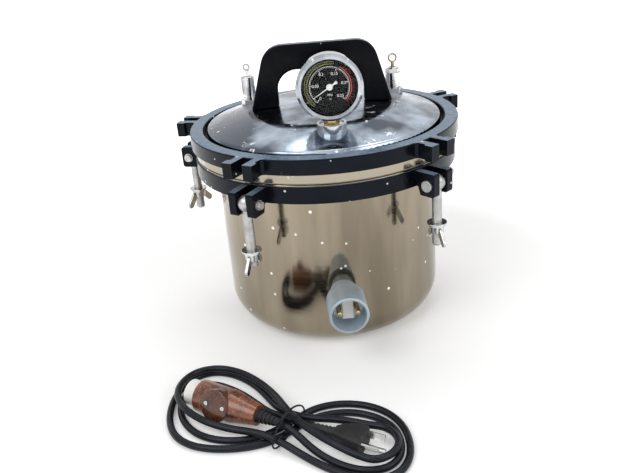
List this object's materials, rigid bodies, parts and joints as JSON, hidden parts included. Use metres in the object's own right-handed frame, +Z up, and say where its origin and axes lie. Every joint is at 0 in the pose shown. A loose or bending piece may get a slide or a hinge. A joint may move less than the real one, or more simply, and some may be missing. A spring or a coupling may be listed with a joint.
{
  "type": "portable pressure steam steriliser",
  "caption": "Electric pressure steriliser: polished pot and domed lid clamped by black cast rings with swing bolts, bridge handle, gauge, valves and a detached mains lead",
  "frame": {"origin": "middle of the pot's flat underside, at floor level", "axes": "+Z up along the pot's axis; -Y is the front, where the gauge faces and the heater socket points; +X is to the right seen from the front"},
  "size_m": [0.3415, 0.5114, 0.3193],
  "materials": {
    "polished_steel": "drawn stainless sheet, polished",
    "black_enamel": "glossy black paint on cast iron",
    "zinc_plate": "dull zinc plate",
    "nickel_plate": "bright nickel plate",
    "chrome_plate": "bright chrome plate",
    "yellow_brass": "worn machined brass",
    "black_bakelite": "black moulded, rubbed edges",
    "brown_bakelite": "mottled brown moulded",
    "white_ceramic": "off-white glazed",
    "dial_black": "matt black with printed scale",
    "pointer_white": "matt white",
    "clear_glass": "clear flat glass",
    "grey_rubber": "matt, moulded",
    "black_rubber": "satin cord jacket",
    "element_steel": "heat-tinted sheath",
    "tray_aluminium": "satin spun"
  },
  "bodies": {
    "vessel": {"vessel_pot": "polished_steel", "clamp_ring_lower": "black_enamel", "clevis_pins": "zinc_plate", "socket_shroud": "zinc_plate", "socket_insulator": "white_ceramic", "socket_contacts": "yellow_brass", "heating_element": "element_steel", "steam_rack": "tray_aluminium", "inner_drum": "tray_aluminium", "connector_shell": "brown_bakelite", "connector_sleeve": "white_ceramic", "connector_relief": "black_rubber", "plug_body": "black_rubber", "plug_blades": "nickel_plate", "plug_relief": "black_rubber", "lead_hank": "black_rubber", "hank_tie": "black_rubber"},
    "lid": {"lid_dome": "polished_steel", "lid_ring": "black_enamel", "lid_gasket": "grey_rubber", "lid_under_nuts": "zinc_plate", "handle": "black_bakelite", "handle_screws": "zinc_plate", "gauge_seat_nut": "chrome_plate", "gauge_stem": "yellow_brass", "gauge_case": "chrome_plate", "gauge_bezel": "chrome_plate", "gauge_dial": "dial_black", "gauge_lens": "clear_glass", "vent_body": "nickel_plate", "vent_pin": "nickel_plate", "safety_body": "nickel_plate"},
    "pointer": {"gauge_pointer": "pointer_white"},
    "toggle": {"vent_toggle": "nickel_plate"},
    "relief_stem": {"safety_stem": "yellow_brass"},
    "bolt_1": {"swing_bolt_1": "zinc_plate"},
    "seat_washer_1": {"washer_1": "zinc_plate"},
    "nut_1": {"wing_nut_1": "nickel_plate"},
    "bolt_2": {"swing_bolt_2": "zinc_plate"},
    "seat_washer_2": {"washer_2": "zinc_plate"},
    "nut_2": {"wing_nut_2": "nickel_plate"},
    "bolt_3": {"swing_bolt_3": "zinc_plate"},
    "seat_washer_3": {"washer_3": "zinc_plate"},
    "nut_3": {"wing_nut_3": "nickel_plate"},
    "bolt_4": {"swing_bolt_4": "zinc_plate"},
    "seat_washer_4": {"washer_4": "zinc_plate"},
    "nut_4": {"wing_nut_4": "nickel_plate"},
    "bolt_5": {"swing_bolt_5": "zinc_plate"},
    "seat_washer_5": {"washer_5": "zinc_plate"},
    "nut_5": {"wing_nut_5": "nickel_plate"}
  },
  "joints": [
    {"name": "lid_lift", "type": "slide", "parent": "vessel", "child": "lid", "axis": [0, 0, 1], "range_m": [0, 0.12]},
    {"name": "pointer_turn", "type": "hinge", "parent": "lid", "child": "pointer", "pos_m": [0.0085, -0.094, 0.28567], "axis": [0, 1, 0], "range_deg": [0, 245], "stiffness_Nm_per_rad": 0.0002},
    {"name": "toggle_turn", "type": "hinge", "parent": "lid", "child": "toggle", "pos_m": [-0.085, 0.04, 0.27998], "axis": [0, 1, 0], "range_deg": [0, 90]},
    {"name": "relief_pull", "type": "slide", "parent": "lid", "child": "relief_stem", "axis": [0, 0, 1], "range_m": [0, 0.0025], "stiffness_N_per_m": 300},
    {"name": "bolt_1_swing", "type": "hinge", "parent": "vessel", "child": "bolt_1", "pos_m": [0.14982, 0.06671, 0.188], "axis": [0.4067, -0.9135, 0], "range_deg": [-10, 180]},
    {"name": "washer_1_travel", "type": "slide", "parent": "bolt_1", "child": "seat_washer_1", "axis": [0, 0, -1], "range_m": [-0.0016, 0.0091]},
    {"name": "nut_1_turn", "type": "hinge", "parent": "seat_washer_1", "child": "nut_1", "pos_m": [0.14982, 0.06671, 0.13], "axis": [0, 0, -1], "range_deg": [-360, 2160]},
    {"name": "bolt_2_swing", "type": "hinge", "parent": "vessel", "child": "bolt_2", "pos_m": [-0.01714, 0.1631, 0.188], "axis": [0.9945, 0.1045, 0], "range_deg": [-10, 180]},
    {"name": "washer_2_travel", "type": "slide", "parent": "bolt_2", "child": "seat_washer_2", "axis": [0, 0, -1], "range_m": [-0.0031, 0.0091]},
    {"name": "nut_2_turn", "type": "hinge", "parent": "seat_washer_2", "child": "nut_2", "pos_m": [-0.01714, 0.1631, 0.13], "axis": [0, 0, -1], "range_deg": [-720, 2160]},
    {"name": "bolt_3_swing", "type": "hinge", "parent": "vessel", "child": "bolt_3", "pos_m": [-0.16042, 0.0341, 0.188], "axis": [0.2079, 0.9781, 0], "range_deg": [-10, 180]},
    {"name": "washer_3_travel", "type": "slide", "parent": "bolt_3", "child": "seat_washer_3", "axis": [0, 0, -1], "range_m": [-0.0001, 0.0121]},
    {"name": "nut_3_turn", "type": "hinge", "parent": "seat_washer_3", "child": "nut_3", "pos_m": [-0.16042, 0.0341, 0.13], "axis": [0, 0, -1], "range_deg": [0, 2880]},
    {"name": "bolt_4_swing", "type": "hinge", "parent": "vessel", "child": "bolt_4", "pos_m": [-0.082, -0.14203, 0.188], "axis": [-0.866, 0.5, 0], "range_deg": [-10, 180]},
    {"name": "washer_4_travel", "type": "slide", "parent": "bolt_4", "child": "seat_washer_4", "axis": [0, 0, -1], "range_m": [-0.0061, 0.0046]},
    {"name": "nut_4_turn", "type": "hinge", "parent": "seat_washer_4", "child": "nut_4", "pos_m": [-0.082, -0.14203, 0.13], "axis": [0, 0, -1], "range_deg": [-1440, 1080]},
    {"name": "bolt_5_swing", "type": "hinge", "parent": "vessel", "child": "bolt_5", "pos_m": [0.10974, -0.12188, 0.188], "axis": [-0.7431, -0.6691, 0], "range_deg": [-10, 180]},
    {"name": "washer_5_travel", "type": "slide", "parent": "bolt_5", "child": "seat_washer_5", "axis": [0, 0, -1], "range_m": [-0.0001, 0.0121]},
    {"name": "nut_5_turn", "type": "hinge", "parent": "seat_washer_5", "child": "nut_5", "pos_m": [0.10974, -0.12188, 0.13], "axis": [0, 0, -1], "range_deg": [0, 2880]}
  ],
  "couplings": [
    {"joint": "washer_1_travel", "follows": "nut_1_turn", "m_per_rad": 0.00023873},
    {"joint": "washer_2_travel", "follows": "nut_2_turn", "m_per_rad": 0.00023873},
    {"joint": "washer_3_travel", "follows": "nut_3_turn", "m_per_rad": 0.00023873},
    {"joint": "washer_4_travel", "follows": "nut_4_turn", "m_per_rad": 0.00023873},
    {"joint": "washer_5_travel", "follows": "nut_5_turn", "m_per_rad": 0.00023873}
  ]
}
